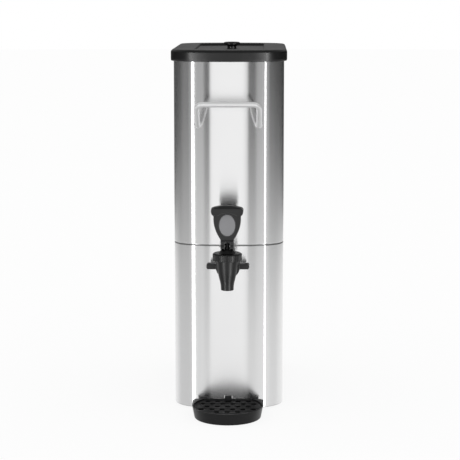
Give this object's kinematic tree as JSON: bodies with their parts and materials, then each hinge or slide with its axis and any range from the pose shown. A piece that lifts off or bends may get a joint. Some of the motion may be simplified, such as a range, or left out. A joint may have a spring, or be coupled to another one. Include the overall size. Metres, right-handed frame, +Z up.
{
  "type": "tea dispenser",
  "caption": "Narrow, deep steel countertop tea dispenser with lift-off lid, rod handles, lever faucet on a wing-nut coupling and a pull-out drip tray.",
  "frame": {"origin": "on the counter, at the middle of the whole part's footprint, drip tray and rear handle included", "axes": "+Z up, -Y towards the faucet and the person who fills a cup, +X to that person's right"},
  "size_m": [0.1738, 0.4499, 0.5485],
  "materials": {
    "shell_steel": "bright brushed sheet",
    "inner_steel": "plain sheet",
    "handle_steel": "polished rod",
    "fastener_steel": "turned",
    "lid_plastic": "satin moulded",
    "faucet_plastic": "semi-gloss moulded",
    "tray_plastic": "satin moulded",
    "badge_plastic": "satin",
    "foot_rubber": "matte",
    "seal_silicone": "matte"
  },
  "bodies": {
    "dispenser": {"tank_shell": "shell_steel", "tank_floor": "inner_steel", "lower_shell": "shell_steel", "base_pan": "inner_steel", "base_feet": "foot_rubber", "feet_screws": "fastener_steel", "feet_nuts": "fastener_steel", "front_handle": "handle_steel", "rear_handle": "handle_steel", "faucet_shank": "fastener_steel", "shank_gasket": "foot_rubber", "shell_gasket": "foot_rubber", "shank_nut": "fastener_steel", "tail_seal": "seal_silicone", "faucet_body": "faucet_plastic", "faucet_bonnet": "faucet_plastic", "seat_cup": "seal_silicone", "valve_spring": "fastener_steel"},
    "lid": {"lid_cover": "lid_plastic", "lid_knob": "lid_plastic", "knob_screw": "fastener_steel"},
    "coupling_nut": {"wing_nut": "faucet_plastic"},
    "stem": {"valve_stem": "fastener_steel"},
    "handle_lever": {"lever": "faucet_plastic", "lever_badge": "badge_plastic", "lever_pin": "fastener_steel"},
    "tray": {"drip_tray": "tray_plastic"},
    "grille": {"drip_grille": "tray_plastic"}
  },
  "joints": [
    {"name": "lid_lift", "type": "slide", "parent": "dispenser", "child": "lid", "axis": [0, 0, 1], "range_m": [0, 0.2]},
    {"name": "wing_nut_turn", "type": "hinge", "parent": "dispenser", "child": "coupling_nut", "pos_m": [0, -0.15395, 0.225], "axis": [0, -1, 0], "continuous": true},
    {"name": "stem_lift", "type": "slide", "parent": "dispenser", "child": "stem", "axis": [0, 0, 1], "range_m": [0, 0.0044], "stiffness_N_per_m": 1500, "springref_m": -0.004, "deforming": ["valve_spring", "seat_cup"]},
    {"name": "lever_pull", "type": "hinge", "parent": "stem", "child": "handle_lever", "pos_m": [0, -0.19195, 0.261], "axis": [1, 0, 0], "range_deg": [0, 48]},
    {"name": "tray_pull", "type": "slide", "parent": "dispenser", "child": "tray", "axis": [0, -1, 0], "range_m": [0, 0.15]},
    {"name": "grille_lift", "type": "slide", "parent": "tray", "child": "grille", "axis": [0, 0, 1], "range_m": [0, 0.1]}
  ],
  "couplings": [
    {"joint": "lever_pull", "follows": "stem_lift", "rad_per_m": 190.39}
  ]
}
